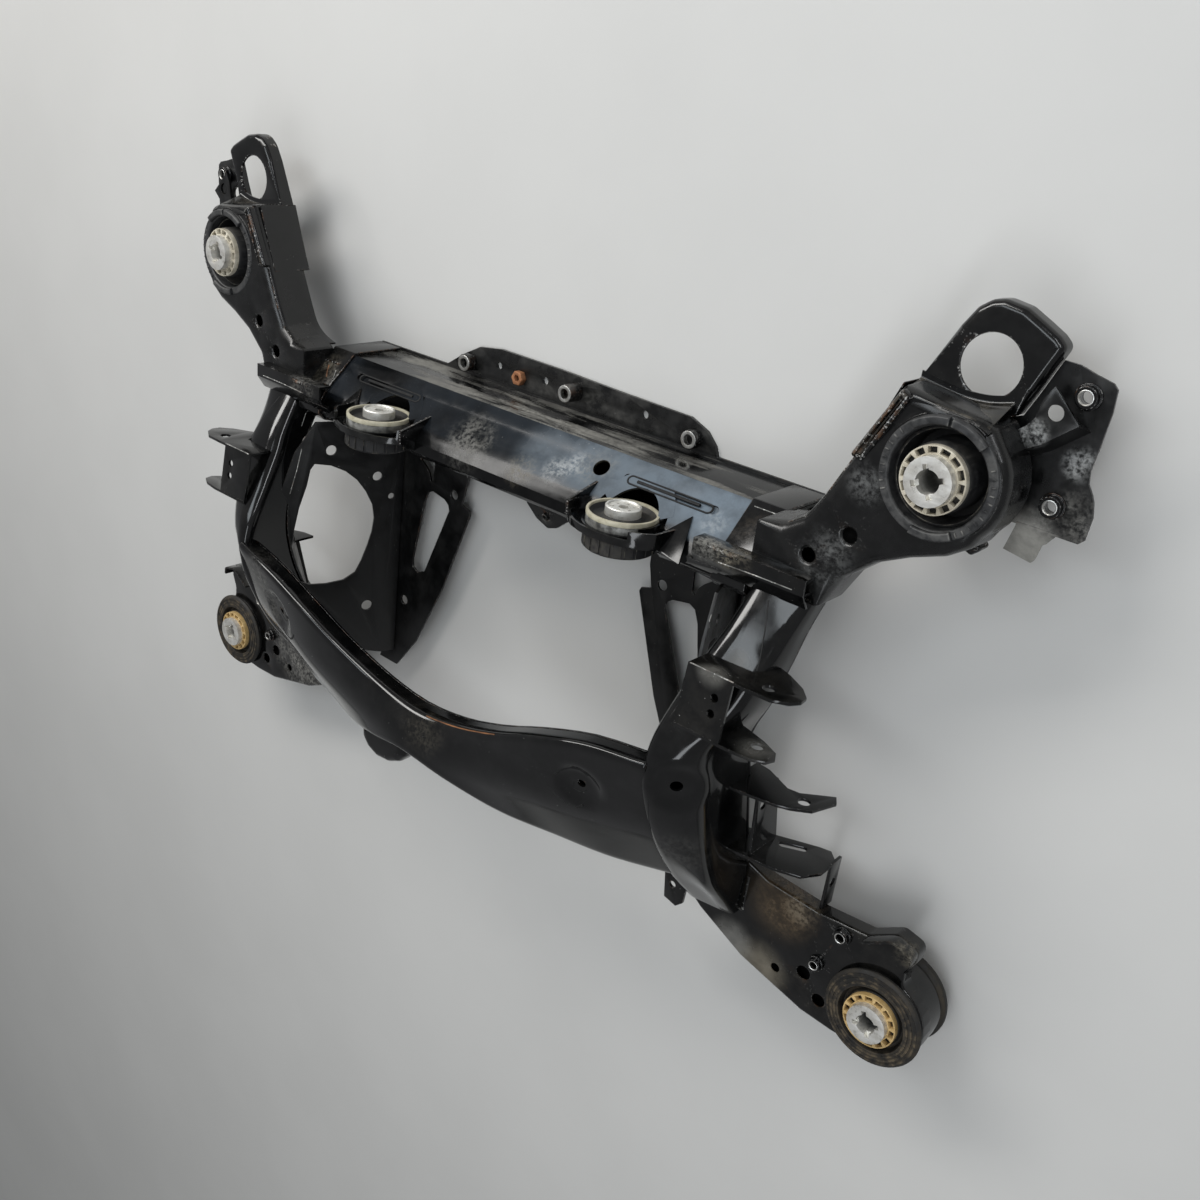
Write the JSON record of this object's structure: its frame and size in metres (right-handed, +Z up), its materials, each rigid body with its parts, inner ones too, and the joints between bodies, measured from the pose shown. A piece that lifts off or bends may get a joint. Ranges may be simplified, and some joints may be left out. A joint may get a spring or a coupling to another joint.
{
  "type": "rear subframe",
  "caption": "Welded rear subframe of a car: rear and front crossmembers, arched side members, link brackets, rubber body bushes and axle-drive bushes.",
  "frame": {"origin": "centre of the footprint, on the plane of the underside of the rear crossmember", "axes": "+Z up in the vehicle, +Y towards the rear of the vehicle, +X to the right-hand side"},
  "size_m": [1.152, 0.727, 0.2307],
  "materials": {
    "coat_black": "glossy black electro-coat, scuffed, dusty on the ledges",
    "coat_blue_grey": "black electro-coat with a bluish sheen and chalky stains",
    "coat_matt": "black electro-coat gone dull with dust",
    "core_aluminium": "turned aluminium, lightly dirty",
    "cage_cream": "cream moulded ring, dusty",
    "rubber": "matt black rubber, dusty",
    "can_steel": "dark grey coated steel",
    "drive_can": "tan dusty rim over dark steel",
    "zinc": "zinc plated, one nut rusted"
  },
  "bodies": {
    "root": {"rear_beam": "coat_blue_grey", "rear_beam_floor": "coat_matt", "saddle_right": "coat_black", "saddle_left": "coat_black", "rear_arm_right": "coat_black", "rear_arm_left": "coat_black", "horn_right": "coat_black", "horn_left": "coat_black", "end_plate_right": "coat_black", "end_plate_left": "coat_black", "end_nuts_right": "zinc", "end_nuts_left": "zinc", "side_member_right": "coat_black", "side_member_left": "coat_black", "side_floor_right": "coat_matt", "side_floor_left": "coat_matt", "side_plate_right": "coat_matt", "side_plate_left": "coat_matt", "strut_plate_right": "coat_matt", "strut_plate_left": "coat_matt", "upper_bracket_right": "coat_black", "upper_bracket_left": "coat_black", "lower_bracket_right": "coat_black", "lower_bracket_left": "coat_black", "gusset_right": "coat_black", "gusset_left": "coat_black", "front_beam": "coat_black", "front_beam_floor": "coat_matt", "front_arm_right": "coat_black", "front_arm_left": "coat_black", "arm_nuts_right": "zinc", "arm_nuts_left": "zinc", "front_tab_right": "coat_matt", "front_tab_left": "coat_matt", "rear_core_right": "core_aluminium", "rear_core_left": "core_aluminium", "rear_cage_right": "cage_cream", "rear_cage_left": "cage_cream", "rear_rubber_right": "rubber", "rear_rubber_left": "rubber", "rear_can_right": "can_steel", "rear_can_left": "can_steel", "front_core_right": "core_aluminium", "front_core_left": "core_aluminium", "front_cage_right": "cage_cream", "front_cage_left": "cage_cream", "front_rubber_right": "rubber", "front_rubber_left": "rubber", "front_can_right": "can_steel", "front_can_left": "can_steel", "drive_cup_right": "coat_black", "drive_cup_left": "coat_black", "drive_can_right": "drive_can", "drive_can_left": "drive_can", "drive_rubber_right": "rubber", "drive_rubber_left": "rubber", "drive_core_right": "core_aluminium", "drive_core_left": "core_aluminium", "hanger_plate": "coat_black", "hanger_sleeves": "zinc"}
  },
  "joints": []
}
